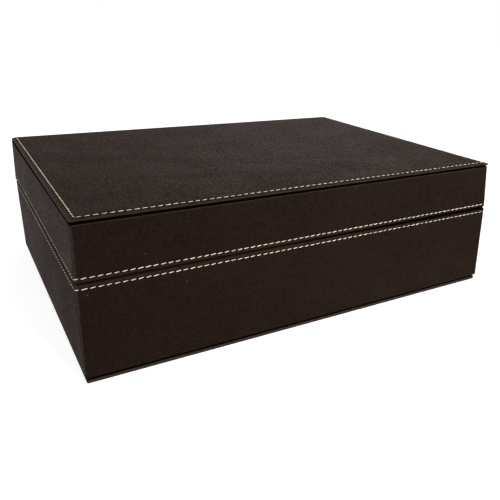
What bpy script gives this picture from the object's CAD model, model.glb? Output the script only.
"""Gift box covered in stitched leather.

Two trays meet rim to rim. A band of leather rolls over each rim, a cover runs over the lid's panel and
down the back, where it crosses the seam and is the hinge, and light thread is sewn beside the edges.
Metres, +Z up, front at -Y, origin in the middle of the footprint.
"""

import math
import random

import bmesh
import bpy
from bpy.props import FloatProperty, FloatVectorProperty, IntProperty, PointerProperty
from mathutils import Matrix, Vector


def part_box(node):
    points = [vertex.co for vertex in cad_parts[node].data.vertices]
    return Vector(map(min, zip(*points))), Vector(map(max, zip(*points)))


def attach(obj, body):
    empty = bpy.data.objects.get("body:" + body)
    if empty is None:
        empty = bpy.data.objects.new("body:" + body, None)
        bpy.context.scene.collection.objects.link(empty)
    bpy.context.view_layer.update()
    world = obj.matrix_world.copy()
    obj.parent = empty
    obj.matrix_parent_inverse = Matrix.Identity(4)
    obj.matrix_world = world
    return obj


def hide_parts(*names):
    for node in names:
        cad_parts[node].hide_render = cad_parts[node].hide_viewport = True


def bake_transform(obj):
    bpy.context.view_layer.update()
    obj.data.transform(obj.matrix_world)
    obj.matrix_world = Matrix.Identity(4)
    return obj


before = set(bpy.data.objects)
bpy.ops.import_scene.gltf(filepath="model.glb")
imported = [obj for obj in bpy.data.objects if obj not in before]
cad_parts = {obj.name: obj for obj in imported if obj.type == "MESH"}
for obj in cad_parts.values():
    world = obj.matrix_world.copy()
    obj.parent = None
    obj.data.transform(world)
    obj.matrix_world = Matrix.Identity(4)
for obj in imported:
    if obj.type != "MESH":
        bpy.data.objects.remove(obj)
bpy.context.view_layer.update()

bl_info = {
    "name": "Stitched leather gift box",
    "version": (1, 0, 0),
    "blender": (4, 5, 0),
    "location": "View3D > Sidebar > Gift Box",
    "description": "Models a leather gift box with a hinged lid, stitched edges and padded linings",
    "category": "Object",
}

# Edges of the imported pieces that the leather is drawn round
LID_LOW, LID_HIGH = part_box("lid_wrap")
BASE_LOW, BASE_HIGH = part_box("base_wrap")
COVER_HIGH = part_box("top_cover")[1]
STRIP_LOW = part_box("cover_back")[0]
BOTTOM_LOW, BOTTOM_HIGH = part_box("bottom_cover")
TOP_Z = COVER_HIGH.z
RIM_HALF_X = LID_HIGH.x
RIM_HALF_Y = (LID_HIGH.y - LID_LOW.y) / 2
MIDDLE_Y = (LID_HIGH.y + LID_LOW.y) / 2
RIM_FRONT_Y = MIDDLE_Y - RIM_HALF_Y
RIM_BACK_Y = MIDDLE_Y + RIM_HALF_Y
SEAM_Z = (LID_LOW.z + BASE_HIGH.z) / 2
PANEL_HALF_X = COVER_HIGH.x
PANEL_BACK_Y = RIM_BACK_Y - (RIM_HALF_X - PANEL_HALF_X)

MM = 0.001
HAIR = 0.01 * MM
LID_LEAN = 2.2 * MM

# Where the long walls are cut across, so that the shade at the seam can grow from one cut to the next
SEAM_CUTS = [x * MM for x in (-30, 0, 30, 60, 90)]


def length(name, description, value):
    """A size for the sidebar, given in millimetres."""
    return FloatProperty(
        name=name, description=description, default=value * MM, min=0, unit="LENGTH", precision=5
    )


def colour(name, description, value):
    """A linear colour for the sidebar."""
    return FloatVectorProperty(
        name=name, description=description, default=value, min=0, max=1, size=3, subtype="COLOR"
    )


class GiftBoxSizes(bpy.types.PropertyGroup):
    """Sizes of the leather, the thread and the linings."""

    leather: length("Leather", "Thickness of the cover leather", 0.7)
    glue: length("Glue", "Layer of glue and air between leather and board", 0.3)
    board: length("Board", "Thickness of a wall board", 3.5)
    rim_corner: length("Rim corner", "Radius of a front corner at a rim", 2.2)
    end_corner: length("End corner", "Radius of a front corner beside the lid's panel and at the foot", 0.8)
    back_corner: length("Back corner", "Radius of an upright corner at the back", 0.5)
    inside_corner: length("Inside corner", "Least radius of an inside corner", 0.25)
    rim_roll: length("Rim roll", "Radius of the leather rolled over a rim", 1.6)
    inner_roll: length("Inner roll", "Radius where the leather turns down inside a rim", 1.2)
    foot_roll: length("Foot roll", "Radius where the leather turns under a wall", 0.9)
    turn_in: length("Turn-in", "Depth of the leather turned in behind a rim", 8)
    top_roll: length("Top roll", "Radius where the leather turns in beside the lid's panel", 0.55)
    foot_lift: length("Foot lift", "Height of the walls' turned edge above the boards' edge", 0.25)
    foot_return: length("Foot return", "Width of the leather turned under a wall", 3)
    panel_corner: length("Panel corner", "Radius of the front corners of the lid's panel", 1.3)
    panel_back_corner: length("Panel back corner", "Radius of the back corners of the lid's panel", 0.5)
    panel_margin: length("Panel margin", "Sloping margin outside the stitching on the lid", 3.8)
    panel_roll: length("Panel roll", "Radius of the panel's rolled edge", 0.5)
    recess: length("Recess", "Depth of the dark recess under the panel's edge", 0.8)
    panel_drop: length("Panel drop", "Fall of the margin to the rolled edge", 0.75)
    back_bend: length("Back bend", "Radius of the leather over the lid's back edge", 1.9)
    strip_set_in: length("Strip set-in", "How far the leather on the back stands in from the corners", 0.8)
    fold_dip: length("Fold dip", "Depth of the hinge fold in the groove at the seam", 0.6)
    pitch: length("Stitch pitch", "Distance from one stitch to the next", 4.24)
    stitch: length("Stitch", "Length of a stitch from hole to hole", 4.0)
    thread: length("Thread", "Width of the thread as it lies", 0.6)
    slant: length("Slant", "Rise of a stitch from its left end to its right end", 0.5)
    panel_stitch: length("Panel stitching", "Distance of the stitching from the panel's edge", 3.4)
    lid_stitch: length("Lid stitching", "Height of the lid's stitching above the seam", 2.86)
    base_stitch: length("Base stitching", "Distance of the base's stitching below the seam", 3.15)
    channel: length("Channel", "Depth of the groove that a row of stitches pulls in", 0.22)
    crown: length("Crown", "Rise of a lining pad in its middle", 0.9)
    corner_steps: IntProperty(name="Corner steps", description="Facets round a corner", default=10, min=2)
    roll_steps: IntProperty(name="Roll steps", description="Facets round a rolled edge", default=7, min=2)


class GiftBoxColours(bpy.types.PropertyGroup):
    """Colours of the materials."""

    leather_dark: colour("Leather, dark", "Deep tone of the leather", (0.0088, 0.0047, 0.0033))
    leather_light: colour("Leather, light", "Rubbed tone of the leather", (0.0150, 0.0090, 0.0066))
    leather_worn: colour("Leather, worn", "Leather rubbed light on its edges", (0.052, 0.038, 0.031))
    leather_crease: colour("Leather, crease", "Leather deep in a groove", (0.0015, 0.0010, 0.0008))
    thread: colour("Thread", "Waxed thread", (1.0, 0.90, 0.70))
    thread_dark: colour("Thread, dark", "Soiled thread near its holes", (0.94, 0.76, 0.54))
    lining: colour("Lining", "Flocked lining", (0.110, 0.080, 0.060))
    board: colour("Board", "Grey board of the walls", (0.20, 0.155, 0.11))
    steel: colour("Magnets", "Nickel skin of the magnets", (0.55, 0.55, 0.54))
    speck: colour("Specks", "Dust caught in the leather's grain", (0.32, 0.29, 0.26))
    floor: colour("Floor", "Pale studio floor", (0.85, 0.85, 0.85))


def sizes():
    """The sizes that the sidebar shows."""
    return bpy.context.scene.gift_box_sizes


def colours():
    """The colours that the sidebar shows."""
    return bpy.context.scene.gift_box_colours


# Trays: heights are counted from the outside of a tray's panel towards its rim


class Tray:
    """Where one tray's panel and rim lie, and how its walls lean."""

    def __init__(self, name, panel_z, rim_z, lean):
        self.name = name
        self.panel_z = panel_z
        self.height = abs(rim_z - panel_z)
        self.up = 1 if rim_z > panel_z else -1
        self.lean = lean

    def lean_at(self, rise):
        """How far the wall stands in from the rim's outline at a height."""
        return self.lean * (1 - rise / self.height)

    def ring(self, inset, rise):
        """The ring that a point of a section draws, leaned with the wall."""
        share = min(max(rise / self.height, 0), 1)
        return outline(inset + self.lean_at(rise), self.panel_z + self.up * rise, inset, share)


def outline(inset, z, cut=0.0, rim_share=0.0, back_inset=None):
    """A round-cornered rectangle inside the rims' outline: half width, front, back, radii and height.
    Its corners are as round as the walls' less a cut, and at the front rounder towards the rim."""
    s = sizes()
    behind = inset if back_inset is None else back_inset
    front = RIM_FRONT_Y + inset
    back = RIM_BACK_Y - behind
    front_corner = s.end_corner + rim_share * (s.rim_corner - s.end_corner)
    radii = [max(radius - cut, s.inside_corner) for radius in (front_corner, s.back_corner)]
    return RIM_HALF_X - inset, front, back, radii, z


BASE = Tray("base", BOTTOM_LOW.z, BASE_HIGH.z, RIM_HALF_X - BASE_HIGH.x)
LID = Tray("lid", TOP_Z, LID_LOW.z, LID_LEAN)


def arc(x, z, radius, start, end, steps=None):
    """Points of a section on an arc, with its angles in degrees."""
    count = steps or sizes().roll_steps
    points = []
    for i in range(count + 1):
        angle = math.radians(start + (end - start) * i / count)
        points.append((x + radius * math.cos(angle), z + radius * math.sin(angle)))
    return points


# Modelling by hand, one ring after another


def deselect():
    """Nothing stays selected."""
    if bpy.context.mode != "OBJECT":
        bpy.ops.object.mode_set(mode="OBJECT")
    bpy.ops.object.select_all(action="DESELECT")


def only(piece):
    """A piece becomes the only one selected."""
    deselect()
    piece.select_set(True)
    bpy.context.view_layer.objects.active = piece


def begin(name):
    """Starts a piece with no faces and opens it for editing."""
    deselect()
    bpy.ops.mesh.primitive_plane_add(size=1, location=(0, 0, 0))
    piece = bpy.context.object
    piece.name = piece.data.name = name
    bpy.ops.object.mode_set(mode="EDIT")
    bpy.ops.mesh.select_mode(type="VERT")
    bpy.ops.mesh.delete(type="VERT")
    bmesh.from_edit_mesh(piece.data).verts.layers.int.new("ring")
    return piece


def select_points(piece, wanted):
    """Selects the points of a piece whose place and ring number pass a test."""
    bpy.ops.mesh.select_all(action="DESELECT")
    mesh = bmesh.from_edit_mesh(piece.data)
    layer = mesh.verts.layers.int.get("ring")
    for vertex in mesh.verts:
        vertex.select = wanted(vertex.co, vertex[layer] if layer else 0)
    bmesh.update_edit_mesh(piece.data)


def add_ring(piece, ring, tag):
    """Adds a rectangle with round corners and leaves its edges only."""
    half_x, front, back, radii, z = ring
    centre = (0, (front + back) / 2, z)
    bpy.ops.mesh.select_all(action="DESELECT")
    bpy.ops.mesh.primitive_plane_add(size=1, location=centre)
    bpy.ops.transform.resize(value=(2 * half_x, back - front, 1), center_override=centre)
    for y, radius in zip((front, back), radii):
        select_points(piece, lambda place, number: number == 0 and abs(place.y - y) < HAIR)
        bpy.ops.mesh.bevel(offset=radius, segments=sizes().corner_steps, profile=0.5, affect="VERTICES")
    bpy.ops.mesh.select_all(action="DESELECT")
    mesh = bmesh.from_edit_mesh(piece.data)
    layer = mesh.verts.layers.int["ring"]
    for face in mesh.faces:
        if all(v[layer] == 0 for v in face.verts):
            face.select = True
    bmesh.update_edit_mesh(piece.data)
    bpy.ops.mesh.delete(type="ONLY_FACE")
    mesh = bmesh.from_edit_mesh(piece.data)
    layer = mesh.verts.layers.int["ring"]
    for vertex in mesh.verts:
        if vertex[layer] == 0:
            vertex[layer] = tag


def select_rings(piece, tags):
    """Selects the edges that lie in the rings of these numbers."""
    bpy.ops.mesh.select_all(action="DESELECT")
    mesh = bmesh.from_edit_mesh(piece.data)
    layer = mesh.verts.layers.int["ring"]
    for edge in mesh.edges:
        a, b = (v[layer] for v in edge.verts)
        if a == b and a in tags:
            edge.select = True
    bmesh.update_edit_mesh(piece.data)


def loft(piece, rings, closed=False, caps=(False, False)):
    """Bridges each ring to the next, and fills the first and last where caps ask for it.
    The rings stand one above the other while they are bridged, so that flat pairs join straight."""
    apart = 10 * MM
    for number, ring in enumerate(rings, 1):
        add_ring(piece, (*ring[:4], ring[4] + number * apart), number)
    pairs = [(i, i + 1) for i in range(1, len(rings))]
    if closed:
        pairs.append((len(rings), 1))
    for pair in pairs:
        select_rings(piece, pair)
        bpy.ops.mesh.bridge_edge_loops()
    for wanted, number in zip(caps, (1, len(rings))):
        if wanted:
            select_rings(piece, (number,))
            bpy.ops.mesh.edge_face_add()
    for number in range(1, len(rings) + 1):
        select_rings(piece, (number,))
        bpy.ops.transform.translate(value=(0, 0, -number * apart))


def face_outwards():
    """Turns all faces of the piece in edit mode outwards."""
    bpy.ops.mesh.select_all(action="SELECT")
    bpy.ops.mesh.normals_make_consistent(inside=False)


def leave(piece, angle=40):
    """Closes the edit and shades the piece smooth across soft edges."""
    bpy.ops.object.mode_set(mode="OBJECT")
    ring_layer = piece.data.attributes.get("ring")
    if ring_layer:
        piece.data.attributes.remove(ring_layer)
    only(piece)
    bpy.ops.object.shade_smooth_by_angle(angle=math.radians(angle))


def modify(piece, kind, **settings):
    """Adds a modifier and applies it at once."""
    only(piece)
    modifier = piece.modifiers.new(kind.title(), kind)
    for key, value in settings.items():
        setattr(modifier, key, value)
    bpy.ops.object.modifier_apply(modifier=modifier.name)


def join(pieces, name):
    """Joins pieces into one."""
    deselect()
    for piece in pieces:
        piece.select_set(True)
    bpy.context.view_layer.objects.active = pieces[0]
    if len(pieces) > 1:
        bpy.ops.object.join()
    joined = bpy.context.object
    joined.name = joined.data.name = name
    return joined


def finish_piece(piece, material, body, replaces=()):
    """Gives a finished piece its material, its body if it rides on one, and the nodes it stands for."""
    piece.data.materials.clear()
    piece.data.materials.append(material)
    if body:
        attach(piece, body)
    if replaces:
        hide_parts(*replaces)


# Creases and wear


class Shade:
    """Heights, reaches and shares of the dark and the rubbed bands on the leather."""

    inside = (5 * MM, 6 * MM)
    line_front = 0.55 * MM
    line_left = 1.5 * MM
    line_soft_front = 0.4 * MM
    line_soft_left = 0.7 * MM
    line_turn = (-0.4 * MM, 0.6 * MM)
    line_top = (-0.35 * MM, 0.05 * MM)
    line_end = 2 * MM
    panel_face = 0.5 * MM
    thread_side = 4.1 * MM
    thread_side_reach = 0.8 * MM
    thread_side_share = 0.35
    seam_end = 4 * MM
    seam_inside = (1.5 * MM, 2.5 * MM)
    seam_wider = 0.8 * MM
    seam_reach = (0.25 * MM, 0.7 * MM)
    foot_rise = 0.1 * MM
    foot_reach = (0.75 * MM, 1.0 * MM)
    groove_from = 0.55
    panel_wear_drop = 0.15 * MM
    panel_wear_reach = 0.7 * MM
    panel_wear_depth = (2.9 * MM, 4.2 * MM)
    front_wear_share = 0.7
    corner_wear_share = 0.8
    corner_round_share = 0.35
    corner_slack = 0.5 * MM
    outer = (0.7 * MM, 1.4 * MM)
    rim_wear = 1.5 * MM
    rim_wear_reach = 0.8 * MM
    rim_wear_share = 0.35
    top_wear_drop = 0.6 * MM
    top_wear_reach = 0.5 * MM
    top_wear_share = 0.6
    foot_wear = (-0.9 * MM, -0.5 * MM)


def ramp(value, low, high):
    """0 up to one value, 1 from another on, and straight in between."""
    return min(max((value - low) / (high - low), 0), 1)


def near(value, middle, reach):
    """1 at a middle, falling to 0 at a reach from it."""
    return 1 - ramp(abs(value - middle), 0, reach)


def between(a, b, share):
    """The value at a share of the way from one value to another."""
    return a + share * (b - a)


def depths(point):
    """How far a point lies in from the nearer side wall and from the front or back, at the rims."""
    return RIM_HALF_X - abs(point.x), RIM_HALF_Y - abs(point.y - MIDDLE_Y)


def dark_line(point):
    """The dark line under the lid's panel: taller on the left than at the front, and none at the back."""
    if point.y > RIM_BACK_Y - Shade.line_end:
        return 0
    s = sizes()
    from_side, from_front = depths(point)
    on_left = ramp(from_front - from_side, *Shade.line_turn) if point.x < 0 else 0
    low = LID_HIGH.z - between(Shade.line_front, Shade.line_left, on_left)
    soft = between(Shade.line_soft_front, Shade.line_soft_left, on_left)
    over_roll = point.z - (TOP_Z - s.panel_drop - s.panel_roll)
    return ramp(point.z, low, low + soft) * (1 - ramp(over_roll, *Shade.line_top))


def dark_seam(point):
    """The dark gap at the seam, which grows wider and deeper along the front towards the right."""
    widening = ramp(point.x, SEAM_CUTS[0], SEAM_CUTS[-1])
    if point.y > RIM_BACK_Y - Shade.seam_end:
        widening = 0
    from_seam = abs(point.z - SEAM_Z) - widening * Shade.seam_wider
    outer = 1 - ramp(min(depths(point)), *Shade.seam_inside)
    return between(0.5, 1, widening) * outer * (1 - ramp(from_seam, *Shade.seam_reach))


def crease_at(point):
    """How deep a point of the leather lies in a dark groove, from 0 to 1."""
    depth = min(depths(point))
    beside_thread = 0
    if point.z > TOP_Z - Shade.panel_face:
        beside_thread = Shade.thread_side_share * near(depth, Shade.thread_side, Shade.thread_side_reach)
    above_foot = 1 - ramp(abs(point.z - BOTTOM_HIGH.z - Shade.foot_rise), *Shade.foot_reach)
    outside = 1 - ramp(depth, *Shade.inside)
    return outside * max(dark_line(point), beside_thread, dark_seam(point), above_foot)


def wear_at(point):
    """How rubbed and light a point of the leather is, from 0 to 1."""
    s = sizes()
    from_side, from_front = depths(point)
    on_panel = near(point.z, TOP_Z - s.panel_drop - Shade.panel_wear_drop, Shade.panel_wear_reach)
    on_panel *= 1 - ramp(min(from_side, from_front), *Shade.panel_wear_depth)
    on_panel *= 1 if from_side < from_front else Shade.front_wear_share
    lean = LID.lean_at(TOP_Z - point.z) if point.z > SEAM_Z else BASE.lean_at(point.z - BASE.panel_z)
    in_x = from_side - lean
    in_y = point.y - (RIM_FRONT_Y + lean)
    from_seam = abs(point.z - SEAM_Z)
    radius = between(s.end_corner, s.rim_corner, 1 - ramp(from_seam, 0, LID.height))
    on_corner = 0
    if min(in_x, in_y) > -Shade.corner_slack:
        rounding = ramp(max(in_x, in_y), Shade.corner_round_share * radius, radius)
        on_corner = Shade.corner_wear_share * (1 - rounding)
    outer = 1 - ramp(min(in_x, in_y), *Shade.outer)
    on_rim = Shade.rim_wear_share * near(from_seam, Shade.rim_wear, Shade.rim_wear_reach)
    on_top = 0
    if in_y < in_x:
        on_top = Shade.top_wear_share * near(point.z, LID_HIGH.z - Shade.top_wear_drop, Shade.top_wear_reach)
    on_foot = 1 - ramp(point.z - BOTTOM_HIGH.z, *Shade.foot_wear)
    return max(on_panel, on_corner, outer * max(on_rim, on_top, on_foot))


def mark_leather(piece):
    """Writes the creases and the wear of a piece of leather to its points."""
    for name, rule in (("crease", crease_at), ("wear", wear_at)):
        marks = piece.data.attributes.new(name, "FLOAT", "POINT")
        marks.data.foreach_set("value", [rule(vertex.co) for vertex in piece.data.vertices])


def dull_grooves(piece):
    """Gives the faces deep in a groove a material with no gloss."""
    piece.data.materials.append(groove_material())
    for face in piece.data.polygons:
        if crease_at(face.center) > Shade.groove_from:
            face.material_index = 1


# Materials


class Nodes:
    """The node tree of a material or a world, with one short call for each node."""

    def __init__(self, owner, output):
        owner.use_nodes = True
        self.tree = owner.node_tree
        self.tree.nodes.clear()
        self.output = self.tree.nodes.new(output)

    def add(self, kind, inputs=None, **settings):
        """Adds a node; an input is a value or another node's output."""
        node = self.tree.nodes.new(kind)
        for key, value in settings.items():
            setattr(node, key, value)
        for key, value in (inputs or {}).items():
            if isinstance(value, bpy.types.NodeSocket):
                self.tree.links.new(value, node.inputs[key])
            else:
                node.inputs[key].default_value = value
        return node

    def place(self, kind="Object", scale=(1, 1, 1), turn=(0, 0, 0), mapping="POINT"):
        """The point of the piece that a pattern reads. The TEXTURE mapping divides by the scale."""
        point = self.add("ShaderNodeTexCoord").outputs[kind]
        given = {"Vector": point, "Scale": scale, "Rotation": turn}
        return self.add("ShaderNodeMapping", given, vector_type=mapping).outputs[0]

    def noise(self, point, scale, detail=3.0, roughness=0.5, distortion=0.0):
        """Soft cloudy noise from 0 to 1."""
        given = {"Vector": point, "Scale": scale, "Detail": detail, "Roughness": roughness}
        node = self.add("ShaderNodeTexNoise", {**given, "Distortion": distortion})
        return node.outputs["Fac"]

    def cells(self, point, scale, soft=0.0):
        """Distance to the cells of a pebbled pattern, with soft or sharp borders."""
        given = {"Vector": point, "Scale": scale}
        if not soft:
            return self.add("ShaderNodeTexVoronoi", given).outputs["Distance"]
        node = self.add("ShaderNodeTexVoronoi", given, feature="SMOOTH_F1")
        node.inputs["Smoothness"].default_value = soft
        return node.outputs["Distance"]

    def mark(self, name):
        """A value that the piece carries on its points."""
        return self.add("ShaderNodeAttribute", attribute_name=name).outputs["Fac"]

    def span(self, value, low, high, to_low=0.0, to_high=1.0):
        """Spreads a range of a value onto another range."""
        given = {"Value": value, "From Min": low, "From Max": high, "To Min": to_low, "To Max": to_high}
        return self.add("ShaderNodeMapRange", given).outputs["Result"]

    def mix(self, share, a, b):
        """Mixes two colours by the share that another node gives."""
        node = self.add("ShaderNodeMix", data_type="RGBA")
        for socket, value in ((node.inputs[0], share), (node.inputs[6], a), (node.inputs[7], b)):
            if isinstance(value, bpy.types.NodeSocket):
                self.tree.links.new(value, socket)
            else:
                socket.default_value = (*value[:3], 1)
        return node.outputs[2]

    def math(self, operation, a, b=0.0):
        """One operation on two values."""
        return self.add("ShaderNodeMath", {0: a, 1: b}, operation=operation).outputs[0]

    def bump(self, height, strength, distance, normal=None):
        """Relief of a height in metres times the distance."""
        given = {"Height": height, "Strength": strength, "Distance": distance}
        if normal:
            given["Normal"] = normal
        return self.add("ShaderNodeBump", given).outputs[0]

    def seen(self):
        """1 for rays from the camera, from gloss and through glass."""
        rays = self.add("ShaderNodeLightPath").outputs
        direct = self.math("MAXIMUM", rays["Is Camera Ray"], rays["Is Glossy Ray"])
        return self.math("MAXIMUM", direct, rays["Is Transmission Ray"])

    def end(self, kind, inputs):
        """Ends the tree in a shader."""
        self.tree.links.new(self.add(kind, inputs).outputs[0], self.output.inputs["Surface"])

    def principled(self, **inputs):
        """Ends the tree in a principled shader."""
        self.end("ShaderNodeBsdfPrincipled", {key.replace("_", " "): value for key, value in inputs.items()})


def made_once(name):
    """Turns a function that fills a node tree into one that makes or finds its material."""

    def wrap(fill):
        def find():
            material = bpy.data.materials.get(name)
            if material is None:
                material = bpy.data.materials.new(name)
                fill(Nodes(material, "ShaderNodeOutputMaterial"), colours())
            return material

        return find

    return wrap


# How the leather takes light: its dullest and smoothest places, its gloss, and a warm bloom at low angles
LEATHER_DULL = 0.86
LEATHER_SMOOTH = 0.54
LEATHER_GLOSS = 0.026
BLOOM_SHARE = 0.019
BLOOM_ROUGHNESS = 0.4
BLOOM_COLOUR = (1, 0.51, 0.37, 1)


@made_once("dark_leather")
def leather_material(n, c):
    """Fine-grained dark leather, rubbed light on its edges and dark in its grooves, with a few specks."""
    here = n.place()
    slanting = n.place(scale=(1.5, 0.9, 0.9), turn=(0, -0.645, 0.679), mapping="TEXTURE")
    pebbles = n.cells(here, scale=1300, soft=0.6)
    hatch = n.noise(slanting, scale=760, detail=2)
    wrinkles = n.noise(here, scale=560, detail=4, roughness=0.6, distortion=0.2)
    folds = n.noise(here, scale=38, roughness=0.55)
    patches = n.noise(here, scale=22, detail=4, roughness=0.6, distortion=0.3)
    mottle = n.math("ADD", n.span(wrinkles, 0.38, 0.62, 0, 0.5), n.span(hatch, 0.38, 0.62, 0, 0.5))
    tone = n.math("ADD", n.span(patches, 0.35, 0.65, 0.1, 0.4), n.math("MULTIPLY", mottle, 0.9))
    hide = n.mix(tone, c.leather_dark, c.leather_light)
    worn_share = n.math("MULTIPLY", n.mark("wear"), n.span(wrinkles, 0.3, 0.6, 0.6, 1.0))
    rubbed = n.mix(worn_share, hide, c.leather_worn)
    shaded = n.mix(n.mark("crease"), rubbed, c.leather_crease)
    specks = n.cells(here, scale=62)
    base = n.mix(n.span(specks, 0.035, 0.02, 0, 0.16), shaded, c.speck)
    polish = n.math("ADD", n.math("MULTIPLY", mottle, 0.5), n.math("MULTIPLY", patches, 0.35))
    broad = n.bump(folds, 0.5, 0.8 * MM)
    crease = n.bump(wrinkles, 0.8, 0.25 * MM, broad)
    lines = n.bump(hatch, 0.8, 0.22 * MM, crease)
    n.principled(
        Base_Color=base,
        Roughness=n.span(polish, 0.2, 0.6, LEATHER_DULL, LEATHER_SMOOTH),
        Normal=n.bump(pebbles, 0.8, 0.18 * MM, lines),
        Specular_IOR_Level=LEATHER_GLOSS,
        Sheen_Weight=BLOOM_SHARE,
        Sheen_Roughness=BLOOM_ROUGHNESS,
        Sheen_Tint=BLOOM_COLOUR,
    )


@made_once("dark_leather_groove")
def groove_material(n, c):
    """The same leather deep in a groove, dull and nearly black."""
    dust = n.noise(n.place(), scale=500, roughness=0.6)
    base = n.mix(n.span(dust, 0.4, 0.75, 0, 0.35), c.leather_crease, c.leather_light)
    relief = n.bump(dust, 0.5, 0.1 * MM)
    n.principled(Base_Color=base, Roughness=0.95, Normal=relief, Specular_IOR_Level=0.0)


@made_once("waxed_thread")
def thread_material(n, c):
    """Cream waxed thread, twisted from plies."""
    along = n.place("UV", scale=(3, 5, 1), turn=(0, 0, 0.8))
    waves = n.add("ShaderNodeTexWave", {"Vector": along, "Scale": 1.2, "Distortion": 0.6})
    twist = waves.outputs["Fac"]
    here = n.place()
    soil = n.noise(here, scale=260, roughness=0.6)
    fuzz = n.noise(here, scale=2600, detail=4, roughness=0.7)
    tint = n.math("ADD", n.span(soil, 0.35, 0.7, 0, 0.55), n.span(twist, 0.7, 0.0, 0, 0.35))
    base = n.mix(tint, c.thread, c.thread_dark)
    plies = n.bump(twist, 0.6, 0.12 * MM)
    hairs = n.bump(fuzz, 0.4, 0.05 * MM, plies)
    n.principled(Base_Color=base, Roughness=0.6, Normal=hairs, Specular_IOR_Level=0.22)


@made_once("flock_lining")
def lining_material(n, c):
    """Dark flock with a brushed nap."""
    here = n.place()
    nap = n.noise(here, scale=55, detail=4, roughness=0.6, distortion=0.5)
    pile = n.noise(here, scale=2400, roughness=0.7)
    brushed = n.mix(n.span(nap, 0.35, 0.7, 0, 0.8), c.lining, [1.9 * x for x in c.lining])
    base = n.mix(n.span(pile, 0.3, 0.8, 0, 0.5), brushed, [0.45 * x for x in c.lining])
    n.principled(
        Base_Color=base,
        Roughness=0.95,
        Normal=n.bump(pile, 0.7, 0.12 * MM, n.bump(nap, 0.4, 0.5 * MM)),
        Specular_IOR_Level=0.1,
        Sheen_Weight=0.25,
        Sheen_Roughness=0.4,
    )


@made_once("grey_board")
def board_material(n, c):
    """Pressed grey board with fibres."""
    fibres = n.noise(n.place(scale=(1, 1, 6)), scale=320, detail=6, roughness=0.7, distortion=0.8)
    flecks = n.noise(n.place(), scale=900, roughness=0.6)
    tone = n.math("ADD", n.span(fibres, 0.3, 0.7, 0, 0.6), n.span(flecks, 0.5, 0.8, 0, 0.3))
    base = n.mix(tone, c.board, [0.55 * x for x in c.board])
    relief = n.bump(fibres, 0.4, 0.1 * MM)
    n.principled(Base_Color=base, Roughness=0.9, Normal=relief, Specular_IOR_Level=0.2)


@made_once("magnet_steel")
def steel_material(n, c):
    """Nickel skin with fine scuffs."""
    scuffs = n.noise(n.place(scale=(1, 8, 8)), scale=600, detail=4, roughness=0.7)
    base = n.mix(n.span(scuffs, 0.4, 0.7, 0, 0.5), c.steel, [0.6 * x for x in c.steel])
    shine = n.span(scuffs, 0.3, 0.7, 0.25, 0.45)
    n.principled(Base_Color=base, Metallic=1.0, Roughness=shine, Normal=n.bump(scuffs, 0.2, 0.03 * MM))


# The floor's own light where it is seen, and the sky's strength where it isn't
FLOOR_LIFT = 0.67
UNSEEN_SKY = 0.45


@made_once("floor_paper")
def floor_material(n, c):
    """Pale paper that keeps the shadow and looks white where it is seen."""
    paper = n.noise(n.place(), scale=180, detail=4, roughness=0.6)
    tint = n.mix(n.span(paper, 0.3, 0.7), [0.985 * x for x in c.floor], c.floor)
    matt = n.add("ShaderNodeBsdfDiffuse", {"Color": tint})
    lift = n.math("MULTIPLY", n.seen(), FLOOR_LIFT)
    glow = n.add("ShaderNodeEmission", {"Strength": lift})
    n.end("ShaderNodeAddShader", {0: matt.outputs[0], 1: glow.outputs[0]})


# Leather


def finish_leather(piece, body, replaces, angle=40):
    """Shades a piece of leather, marks its creases and its wear, and gives it its material."""
    leave(piece, angle)
    mark_leather(piece)
    finish_piece(piece, leather_material(), body, replaces)
    dull_grooves(piece)


# Small measures of its sections
LEAST_ROLL = 0.1 * MM
CUT_EDGE = 0.2 * MM
INNER_FACETS = 3
PANEL_FACETS = 12
ABOVE_FOOT = (0.5 * MM, 1.2 * MM)
LEDGE_MM = ((0, 1.3), (0, 0.85), (0.25, 0.6), (0.9, 0.55), (0.9, 0))
LEDGE_BACK = 1.6 * MM

# Steps and reaches of the leather down the back
WALL_STEPS = 6
FOLD_STEPS = 28
FOLD_REACH = 4 * MM
BEND_DROP = 3.2 * MM
PAST_WALL = 0.15 * MM
BACK_REACH = 4 * MM


def groove(middle, depth, reach):
    """Points of a shallow groove in an upright section."""
    shoulder = 0.35 * depth
    return [
        (0, middle - reach),
        (shoulder, middle - reach / 2),
        (depth, middle),
        (shoulder, middle + reach / 2),
        (0, middle + reach),
    ]


def tray_section(tray, stitch_rise):
    """The section of the leather round a tray, from its foot over the rim and back inside.
    The points close above the foot keep the shade there narrow."""
    s = sizes()
    if tray is BASE:
        foot = BASE_LOW.z - BOTTOM_LOW.z + s.foot_lift
        roll = s.foot_roll
    else:
        foot = TOP_Z - LID_HIGH.z
        roll = s.top_roll
    within = max(roll - s.leather, LEAST_ROLL)
    rim = tray.height
    end = rim - s.turn_in
    inner = 2 * s.leather + 2 * s.glue + s.board
    return [
        (s.foot_return, foot),
        *arc(roll, foot + roll, roll, -90, -180),
        *[(0, foot + roll + rise) for rise in ABOVE_FOOT],
        *groove(stitch_rise, s.channel, 0.75 * s.thread),
        *arc(s.rim_roll, rim - s.rim_roll, s.rim_roll, 180, 90),
        *arc(inner - s.inner_roll, rim - s.inner_roll, s.inner_roll, 90, 0),
        (inner, end + CUT_EDGE),
        (inner - CUT_EDGE, end),
        (inner - s.leather, end),
        *arc(inner - s.inner_roll, rim - s.inner_roll, s.inner_roll - s.leather, 0, 90, INNER_FACETS),
        *arc(s.rim_roll, rim - s.rim_roll, s.rim_roll - s.leather, 90, 180, INNER_FACETS),
        *arc(s.leather + within, foot + s.leather + within, within, 180, 270, INNER_FACETS),
        (s.foot_return, foot + s.leather),
    ]


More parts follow.
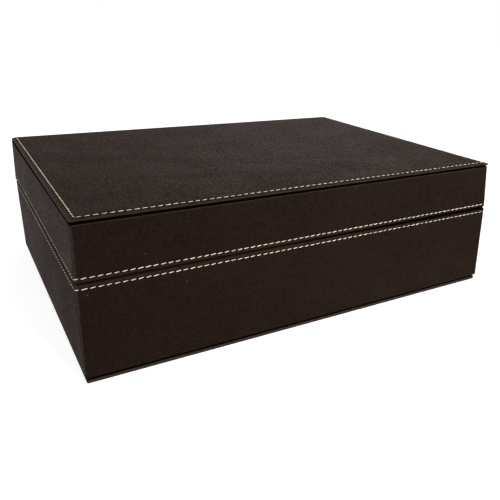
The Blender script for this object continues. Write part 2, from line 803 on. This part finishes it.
class GIFTBOX_OT_tray_leather(bpy.types.Operator):
    """Models the band of leather round each tray"""

    bl_idname = "giftbox.tray_leather"
    bl_label = "Leather round the trays"

    def execute(self, context):
        s = sizes()
        rows = ((BASE, s.base_stitch, "base_leather"), (LID, s.lid_stitch, "lid_leather"))
        for tray, below_seam, name in rows:
            rise = abs(SEAM_Z - tray.panel_z) - below_seam
            piece = begin(name)
            rings = [tray.ring(*point) for point in tray_section(tray, rise)]
            loft(piece, rings, closed=True)
            if tray is LID:
                self.widen_back(piece, rings)
            self.cut_across()
            face_outwards()
            finish_leather(piece, tray.name, [f"{tray.name}_wrap"])
        return {"FINISHED"}

    def cut_across(self):
        """Cuts the long faces where the dark gap at the seam grows wider towards the right."""
        for x in SEAM_CUTS:
            bpy.ops.mesh.select_all(action="SELECT")
            bpy.ops.mesh.bisect(plane_co=(x, 0, 0), plane_no=(1, 0, 0))

    def widen_back(self, piece, rings):
        """Spreads the lid's walls towards the back, where they end flush with the panel."""
        bpy.ops.mesh.select_mode(type="VERT")
        flush = PANEL_HALF_X - RIM_HALF_X + LID.lean
        for number, (half_x, _, _, _, z) in enumerate(rings, 1):
            select_points(piece, lambda place, ring: ring == number and place.y > 0)
            share = (half_x + flush * (z - SEAM_Z) / LID.height) / half_x
            bpy.ops.transform.resize(value=(share, 1, 1), center_override=(0, 0, z))


def back_profile():
    """Points (y, z) of the outside of the leather down the back, from the panel to its foot."""
    s = sizes()

    def face(z, dip=0):
        tray = LID if z > SEAM_Z else BASE
        return RIM_BACK_Y - tray.lean_at(abs(z - tray.panel_z)) + s.glue + s.leather - dip, z

    def straight(high, low):
        return [face(between(high, low, i / WALL_STEPS)) for i in range(WALL_STEPS + 1)]

    fold = []
    for i in range(1, FOLD_STEPS):
        share = 1 - 2 * i / FOLD_STEPS
        on_roll = min(abs(share) * FOLD_REACH / s.rim_roll, 1)
        dip = s.fold_dip * (1 + math.cos(math.pi * on_roll)) / 2
        fold.append(face(SEAM_Z + share * FOLD_REACH, dip))
    above = straight(TOP_Z - BEND_DROP, SEAM_Z + FOLD_REACH)
    below = straight(SEAM_Z - FOLD_REACH, STRIP_LOW.z)
    return above + fold + below


def strip_half(z):
    """Half the width of the leather on the back at a height: it spreads from the panel down to the seam."""
    s = sizes()
    if z < SEAM_Z:
        return RIM_HALF_X - BASE.lean_at(z - BASE.panel_z) - s.strip_set_in
    return between(PANEL_HALF_X, RIM_HALF_X + PAST_WALL, (TOP_Z - z) / LID.height)


def panel_rings():
    """Rings of the cover over the lid's panel, from its flat top down to its lower edge."""
    s = sizes()
    edge = RIM_HALF_X - PANEL_HALF_X
    stitch = s.panel_stitch
    margin = s.panel_margin
    lip = 0.35 * MM
    section = [
        (margin + 1.6 * MM, 0),
        (margin + 0.7 * MM, 0.02 * MM),
        (stitch + lip, 0.08 * MM),
        (stitch, s.channel),
        (stitch - lip, 0.12 * MM),
        (stitch - 0.9 * MM, 0.16 * MM),
        (stitch - 1.6 * MM, 0.36 * MM),
        (s.panel_roll, s.panel_drop),
        *arc(s.panel_roll, s.panel_drop + s.panel_roll, s.panel_roll, -105, -262, PANEL_FACETS)[1:],
        (s.panel_roll + s.recess, s.panel_drop + 2 * s.panel_roll),
        (s.panel_roll + s.recess, TOP_Z - LID_HIGH.z - s.glue),
    ]
    rings = []
    for inset, drop in section:
        bend = s.back_bend
        over = bend - math.sqrt(bend**2 - max(bend - drop, 0) ** 2)
        half_x, front, behind, _, z = outline(edge + inset, TOP_Z - drop, back_inset=edge + over)
        radii = [max(r - inset, s.inside_corner) for r in (s.panel_corner, s.panel_back_corner)]
        rings.append((half_x, front, behind, radii, z))
    return rings


class GIFTBOX_OT_cover_leather(bpy.types.Operator):
    """Models the cover over the lid's panel, down the back and across the hinge"""

    bl_idname = "giftbox.cover_leather"
    bl_label = "Cover and hinge leather"

    def execute(self, context):
        s = sizes()
        piece = begin("cover_leather")
        rings = panel_rings()
        loft(piece, rings, caps=(True, False))
        last = len(rings)
        self.close_recess(piece, rings)
        bpy.ops.mesh.select_all(action="DESELECT")
        mesh = bmesh.from_edit_mesh(piece.data)
        layer = mesh.verts.layers.int["ring"]
        back = max(v.co.y for v in mesh.verts if v[layer] == last)
        lowest = [e for e in mesh.edges if all(v[layer] == last and v.co.y > back - HAIR for v in e.verts)]
        edge = max(lowest, key=lambda e: e.calc_length())
        edge.select = True
        half = edge.calc_length() / 2
        bmesh.update_edit_mesh(piece.data)
        y = back
        z = foot_of_panel = rings[-1][4]
        for next_y, next_z in back_profile():
            bpy.ops.mesh.extrude_edges_move(TRANSFORM_OT_translate={"value": (0, next_y - y, next_z - z)})
            y = next_y
            z = next_z
            wanted = strip_half(z)
            bpy.ops.transform.resize(value=(wanted / half, 1, 1), center_override=(0, y, z))
            half = wanted
        self.press_edges(piece, foot_of_panel)
        face_outwards()
        bpy.ops.object.mode_set(mode="OBJECT")
        highest = max(piece.data.polygons, key=lambda face: face.center.z)
        if highest.normal.z < 0:
            bpy.ops.object.mode_set(mode="EDIT")
            bpy.ops.mesh.select_all(action="SELECT")
            bpy.ops.mesh.flip_normals()
            bpy.ops.object.mode_set(mode="OBJECT")
        modify(piece, "SOLIDIFY", thickness=s.leather, offset=-1)
        sharp = math.radians(50)
        modify(piece, "BEVEL", width=0.18 * MM, segments=2, limit_method="ANGLE", angle_limit=sharp)
        finish_leather(piece, None, ["top_cover", "cover_hinge", "cover_back"], angle=45)
        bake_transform(piece)
        return {"FINISHED"}

    def close_recess(self, piece, rings):
        """Runs the recess under the panel's edge out before the back edge, which keeps its full width."""
        s = sizes()
        starts_y = PANEL_BACK_Y - 3 * MM
        full_from_y = PANEL_BACK_Y - 2 * MM
        aside = 0.5 * MM
        bpy.ops.mesh.select_all(action="SELECT")
        bpy.ops.mesh.bisect(plane_co=(0, starts_y, 0), plane_no=(0, 1, 0))
        bpy.ops.mesh.select_mode(type="VERT")

        def on_ring(place, _):
            level = abs(place.z - z) < HAIR and abs(abs(place.x) - half_x) < aside
            return level and place.y > full_from_y

        for half_x, _, _, _, z in rings:
            if z <= TOP_Z - s.panel_drop - s.panel_roll:
                select_points(piece, on_ring)
                bpy.ops.transform.resize(value=(PANEL_HALF_X / half_x, 1, 1), center_override=(0, 0, z))

    def press_edges(self, piece, top):
        """Rounds the side edges of the leather on the back forwards, down to the walls."""
        for side in (-1, 1):
            for in_from_panel in (1.3 * MM, 0.2 * MM):
                self.select_back(piece, 0, top)
                place = (side * (PANEL_HALF_X - in_from_panel), 0, 0)
                bpy.ops.mesh.bisect(plane_co=place, plane_no=(1, 0, 0))
        for beyond, forwards in ((PANEL_HALF_X - 0.7 * MM, 0.1 * MM), (PANEL_HALF_X - 0.1 * MM, 0.2 * MM)):
            self.select_back(piece, beyond, top)
            bpy.ops.transform.translate(value=(0, -forwards, 0))

    def select_back(self, piece, beyond, top):
        """Selects the points of the strip below the panel that lie past a distance from the middle."""

        def on_strip(place, _):
            return place.z < top - HAIR and abs(place.x) >= beyond and place.y > RIM_BACK_Y - BACK_REACH

        bpy.ops.mesh.select_mode(type="VERT")
        select_points(piece, on_strip)
        bmesh.from_edit_mesh(piece.data).select_flush(True)
        bmesh.update_edit_mesh(piece.data)


class GIFTBOX_OT_bottom_leather(bpy.types.Operator):
    """Models the covered panel under the base"""

    bl_idname = "giftbox.bottom_leather"
    bl_label = "Covered panel under the base"

    def execute(self, context):
        s = sizes()
        setback = RIM_HALF_X - BOTTOM_HIGH.x
        height = BOTTOM_HIGH.z - BOTTOM_LOW.z
        within = height - s.leather
        section = [
            (s.foot_return, 0),
            *arc(s.foot_roll, s.foot_roll, s.foot_roll, -90, -180),
            *[(inset * MM, height - below * MM) for inset, below in LEDGE_MM],
            (LEDGE_BACK, height),
            (LEDGE_BACK, within - 0.5 * MM),
            (s.leather, within - 0.75 * MM),
            *arc(s.foot_roll, s.foot_roll, s.foot_roll - s.leather, -180, -90, INNER_FACETS),
        ]
        piece = begin("bottom_leather")
        rings = [outline(setback + inset, BOTTOM_LOW.z + rise, inset) for inset, rise in section]
        loft(piece, rings, caps=(True, True))
        face_outwards()
        finish_leather(piece, "base", ["bottom_cover"])
        return {"FINISHED"}


# Stitching

# The form of one stitch, as shares of the thread's width or of the stitch
STITCH_SIDES = 8
STITCH_CUTS = 5
FLATNESS_SHARE = 0.62
TAPER_SHARE = 0.3
LIFT_SHARE = 0.1
DIVE_SHARE = 0.8

# How far one stitch may differ from the next
LEANS = (-0.035, 0.035)
SLIPS_MM = ((-0.08, 0.08), (-0.04, 0.03), (-0.05, 0.05))
STRETCHES = (0.95, 1.03)


def one_stitch():
    """One stitch along X: a slanting, rounded thread whose ends dive into their holes."""
    s = sizes()
    deselect()
    bpy.ops.mesh.primitive_cylinder_add(
        vertices=STITCH_SIDES,
        radius=s.thread / 2,
        depth=s.stitch,
        end_fill_type="NGON",
        rotation=(0, math.radians(90), 0),
    )
    stitch = bpy.context.object
    bpy.ops.object.transform_apply(location=True, rotation=True, scale=True)
    bpy.ops.object.mode_set(mode="EDIT")
    bpy.ops.mesh.select_mode(type="EDGE")
    bpy.ops.mesh.select_all(action="DESELECT")
    mesh = bmesh.from_edit_mesh(stitch.data)
    for edge in mesh.edges:
        if abs(edge.verts[0].co.x - edge.verts[1].co.x) > 0.5 * s.stitch:
            edge.select = True
    bmesh.update_edit_mesh(stitch.data)
    bpy.ops.mesh.subdivide(number_cuts=STITCH_CUTS)
    bpy.ops.mesh.select_mode(type="VERT")
    for i in range(STITCH_CUTS + 2):
        share = 2 * i / (STITCH_CUTS + 1) - 1
        x = share * s.stitch / 2
        select_points(stitch, lambda place, _: abs(place.x - x) < 0.02 * s.stitch)
        girth = 1 - TAPER_SHARE * share**4
        out = (LIFT_SHARE - DIVE_SHARE * share**6) * s.thread
        rise = s.slant / 2 * (3 * share - share**3) / 2
        bpy.ops.transform.resize(value=(1, FLATNESS_SHARE * girth, girth), center_override=(x, 0, 0))
        bpy.ops.transform.translate(value=(0, -out, rise))
    bpy.ops.object.mode_set(mode="OBJECT")
    bpy.ops.object.shade_smooth()
    return stitch


def stitch_row(pattern, name, run, rng):
    """A straight row of stitches along X that fills a length, no two quite alike."""
    s = sizes()
    count = max(round(run / s.pitch), 1)
    pitch = run / count
    row = []
    for i in range(count):
        copy = pattern.copy()
        copy.data = pattern.data.copy()
        bpy.context.collection.objects.link(copy)
        lean = rng.uniform(*LEANS)
        slip = Vector([rng.uniform(low, high) for low, high in SLIPS_MM]) * MM
        stretch = Matrix.Diagonal((rng.uniform(*STRETCHES), 1, 1, 1))
        place = Matrix.Translation(Vector(((i + 0.5) * pitch, 0, 0)) + slip)
        copy.data.transform(place @ Matrix.Rotation(lean, 4, "Y") @ stretch)
        row.append(copy)
    return join(row, name)


def seam_path(ring, name):
    """The line that a row follows: down the left side, along the front and back up the right side."""
    _, _, back, (_, back_radius), _ = ring
    piece = begin(name)
    add_ring(piece, ring, 1)
    select_points(piece, lambda place, _: place.y > back - back_radius + HAIR)
    bpy.ops.mesh.delete(type="VERT")
    bpy.ops.object.mode_set(mode="OBJECT")
    only(piece)
    bpy.ops.object.convert(target="CURVE")
    path = bpy.context.object
    path.data.dimensions = "3D"
    path.data.twist_mode = "Z_UP"
    path.data.use_deform_bounds = False
    if path.data.splines[0].points[0].co.x > 0:
        bpy.ops.object.mode_set(mode="EDIT")
        bpy.ops.curve.select_all(action="SELECT")
        bpy.ops.curve.switch_direction()
        bpy.ops.object.mode_set(mode="OBJECT")
    return path


class GIFTBOX_OT_stitching(bpy.types.Operator):
    """Sews the rows of stitches round the lid's panel and on both sides of the seam"""

    bl_idname = "giftbox.stitching"
    bl_label = "Stitching"

    def execute(self, context):
        s = sizes()
        rng = random.Random(417)
        pattern = one_stitch()
        for tray, from_seam in ((LID, s.lid_stitch), (BASE, s.base_stitch)):
            rise = abs(SEAM_Z - tray.panel_z) - from_seam
            ring = tray.ring(s.channel, rise)
            path = seam_path(ring, f"{tray.name}_path")
            half_x, front, back, (radius, back_radius), _ = ring
            run = 2 * (back - front - radius - back_radius) + 2 * (half_x - radius) + math.pi * radius
            row = stitch_row(pattern, f"stitches_{tray.name}", run, rng)
            modify(row, "CURVE", object=path, deform_axis="POS_X")
            bpy.data.objects.remove(path)
            finish_piece(row, thread_material(), tray.name)
        self.sew_panel(pattern, rng)
        bpy.data.objects.remove(pattern)
        return {"FINISHED"}

    def sew_panel(self, pattern, rng):
        """Three straight rows meet at the panel's front corners and run out at its back edge."""
        s = sizes()
        inset = RIM_HALF_X - PANEL_HALF_X + s.panel_stitch
        half_x, front, _, _, _ = outline(inset, TOP_Z)
        back_edge = PANEL_BACK_Y - 0.6 * s.back_bend
        z = TOP_Z - s.channel
        tilt = math.radians(9)
        rows = []
        for name, run, start, heading in (
            ("panel_front", 2 * half_x, (-half_x, front, z), 0),
            ("panel_left", back_edge - front, (-half_x, back_edge, z), -90),
            ("panel_right", back_edge - front, (half_x, front, z), 90),
        ):
            row = stitch_row(pattern, name, run, rng)
            lie = Matrix.Rotation(math.radians(-90) + tilt, 4, "X")
            turn = Matrix.Rotation(math.radians(heading), 4, "Z")
            row.data.transform(Matrix.Translation(start) @ turn @ lie)
            rows.append(row)
        row = join(rows, "stitches_panel")
        finish_piece(row, thread_material(), "lid")


# Linings

MERGED = 0.001 * MM
SOFT_EDGE = 0.28 * MM
PAD_EDGE = 0.6 * MM
PAD_FACETS = 4

# How a pad rises from its edge to its middle: the share of the reach inwards and of the crown
CROWN_REACH = 100 * MM
CROWN_SHARES = ((0.06, 0.35), (0.16, 0.62), (0.34, 0.85), (0.6, 0.96), (0.9, 1))


def soft_copy(node, name):
    """A piece cut from a packed one, with its edges softened."""
    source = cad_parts[node]
    piece = source.copy()
    piece.data = source.data.copy()
    piece.name = piece.data.name = name
    piece.parent = None
    for key in [k for k in piece.keys() if k.startswith("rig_")]:
        del piece[key]
    bpy.context.collection.objects.link(piece)
    only(piece)
    bpy.ops.object.mode_set(mode="EDIT")
    bpy.ops.mesh.select_all(action="SELECT")
    bpy.ops.mesh.remove_doubles(threshold=MERGED)
    bpy.ops.mesh.dissolve_limited(angle_limit=math.radians(1))
    bpy.ops.object.mode_set(mode="OBJECT")
    modify(piece, "BEVEL", width=SOFT_EDGE, segments=3, limit_method="ANGLE", angle_limit=math.radians(40))
    bpy.ops.object.shade_smooth_by_angle(angle=math.radians(50))
    return piece


class GIFTBOX_OT_linings(bpy.types.Operator):
    """Models the lining panels of the walls and the padded sheets on the panels"""

    bl_idname = "giftbox.linings"
    bl_label = "Linings"

    def execute(self, context):
        s = sizes()
        for tray in (BASE, LID):
            for side in ("front", "right", "back", "left"):
                node = f"{tray.name}_lining_{side}"
                piece = soft_copy(node, f"{tray.name}_flock_{side}")
                finish_piece(piece, lining_material(), tray.name, [node])
            node = "base_lining_floor" if tray is BASE else "lid_lining_top"
            low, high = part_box(node)
            start = abs((low.z if tray is BASE else high.z) - tray.panel_z)
            top = start + high.z - low.z
            inset = s.leather + 2 * s.glue + s.board
            edge = arc(inset + PAD_EDGE, top - PAD_EDGE, PAD_EDGE, 180, 90, PAD_FACETS)
            section = [(inset, start), *edge]
            for inwards, rise in CROWN_SHARES:
                section.append((inset + inwards * CROWN_REACH, top + rise * s.crown))
            piece = begin(f"{tray.name}_pad")
            rings = [tray.ring(*point) for point in section]
            loft(piece, rings, caps=(True, True))
            face_outwards()
            leave(piece)
            finish_piece(piece, lining_material(), tray.name, [node])
        return {"FINISHED"}


class GIFTBOX_OT_boards(bpy.types.Operator):
    """Gives the boards and magnets inside the walls their finishes"""

    bl_idname = "giftbox.boards"
    bl_label = "Boards and magnets"

    def execute(self, context):
        self.panel_board()
        for name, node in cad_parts.items():
            if node.hide_render:
                continue
            material = steel_material() if "magnet" in name else board_material()
            for slot in node.material_slots:
                slot.material = material
        return {"FINISHED"}

    def panel_board(self):
        """The board in the lid's panel, cut back behind the recess."""
        s = sizes()
        piece = soft_copy("top_board", "panel_board")
        low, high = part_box("top_board")
        half_y = (high.y - low.y) / 2
        cut = high.x - (PANEL_HALF_X - s.recess - s.panel_roll - s.leather)
        shares = (1 - cut / high.x, 1 - cut / half_y, 1)
        bpy.ops.object.mode_set(mode="EDIT")
        bpy.ops.mesh.select_all(action="SELECT")
        bpy.ops.transform.resize(value=shares, center_override=(0, low.y + half_y, 0))
        bpy.ops.object.mode_set(mode="OBJECT")
        finish_piece(piece, board_material(), "lid", ["top_board"])


# Stage


def aim(obj, at):
    """Turns a lamp or a camera towards a point."""
    obj.rotation_euler = (Vector(at) - obj.location).to_track_quat("-Z", "Y").to_euler()


def soft_lamp(name, place, at, size, power):
    """A square soft lamp."""
    bpy.ops.object.light_add(type="AREA", location=place)
    lamp = bpy.context.object
    lamp.name = lamp.data.name = name
    lamp.data.size = size
    lamp.data.energy = power
    aim(lamp, at)
    return lamp


class GIFTBOX_OT_stage(bpy.types.Operator):
    """Sets the pale floor, the soft light and the camera"""

    bl_idname = "giftbox.stage"
    bl_label = "Stage, light and camera"

    def execute(self, context):
        self.floor()
        self.world(context.scene)
        middle = (0, 0, 0.05)
        front_wall = (0.05, -0.1, 0.04)
        soft_lamp("lamp_key", place=(-1.1, 0.0, 1.5), at=middle, size=1.2, power=3.9)
        near_lamp = soft_lamp("lamp_near", place=(0.25, -1.15, 0.5), at=front_wall, size=0.4, power=0.86)
        near_lamp.data.spread = math.radians(42)
        soft_lamp("lamp_back", place=(1.0, 1.4, 0.55), at=middle, size=0.9, power=2.4)
        self.camera(context.scene)
        context.scene.view_settings.view_transform = "Standard"
        return {"FINISHED"}

    def floor(self):
        deselect()
        bpy.ops.mesh.primitive_plane_add(size=8, location=(0, 0, 0))
        floor = bpy.context.object
        floor.name = "floor"
        floor.data.materials.append(floor_material())

    def world(self, scene):
        scene.world = bpy.data.worlds.new("studio")
        n = Nodes(scene.world, "ShaderNodeOutputWorld")
        strength = n.span(n.seen(), 0, 1, UNSEEN_SKY, 1)
        n.end("ShaderNodeBackground", {"Color": (1, 1, 1, 1), "Strength": strength})

    def camera(self, scene):
        azimuth = math.radians(-32.474)
        elevation = math.radians(21.991)
        roll = math.radians(2.098)
        bpy.ops.object.camera_add(location=(-0.194066, -0.404173, 0.193410))
        camera = bpy.context.object
        camera.name = "camera"
        right = Vector((math.cos(azimuth), math.sin(azimuth), 0))
        level_back = Vector((math.sin(azimuth), -math.cos(azimuth), 0))
        back = level_back * math.cos(elevation) + Vector((0, 0, math.sin(elevation)))
        up = back.cross(right)
        x_axis = right * math.cos(roll) + up * math.sin(roll)
        y_axis = up * math.cos(roll) - right * math.sin(roll)
        camera.rotation_euler = Matrix((x_axis, y_axis, back)).transposed().to_euler()
        camera.data.sensor_width = 36
        camera.data.lens = 41.62
        camera.data.shift_x = -0.11578
        camera.data.clip_start = 0.01
        camera.data.clip_end = 50
        scene.camera = camera


OPERATORS = (
    GIFTBOX_OT_tray_leather,
    GIFTBOX_OT_cover_leather,
    GIFTBOX_OT_bottom_leather,
    GIFTBOX_OT_stitching,
    GIFTBOX_OT_linings,
    GIFTBOX_OT_boards,
    GIFTBOX_OT_stage,
)


class GIFTBOX_PT_sidebar(bpy.types.Panel):
    """Lists the steps that model the gift box"""

    bl_idname = "GIFTBOX_PT_sidebar"
    bl_label = "Gift Box"
    bl_space_type = "VIEW_3D"
    bl_region_type = "UI"
    bl_category = "Gift Box"

    def draw(self, context):
        layout = self.layout
        for step in OPERATORS:
            layout.operator(step.bl_idname)
        for group in (context.scene.gift_box_sizes, context.scene.gift_box_colours):
            column = layout.box().column()
            for key in group.__annotations__:
                column.prop(group, key)


CLASSES = (GiftBoxSizes, GiftBoxColours, *OPERATORS, GIFTBOX_PT_sidebar)


def register():
    for cls in CLASSES:
        bpy.utils.register_class(cls)
    bpy.types.Scene.gift_box_sizes = PointerProperty(type=GiftBoxSizes)
    bpy.types.Scene.gift_box_colours = PointerProperty(type=GiftBoxColours)


def unregister():
    del bpy.types.Scene.gift_box_colours
    del bpy.types.Scene.gift_box_sizes
    for cls in reversed(CLASSES):
        bpy.utils.unregister_class(cls)


def main():
    register()
    bpy.ops.giftbox.tray_leather()
    bpy.ops.giftbox.cover_leather()
    bpy.ops.giftbox.bottom_leather()
    bpy.ops.giftbox.stitching()
    bpy.ops.giftbox.linings()
    bpy.ops.giftbox.boards()
    bpy.ops.giftbox.stage()
    deselect()


if __name__ == "__main__":
    main()
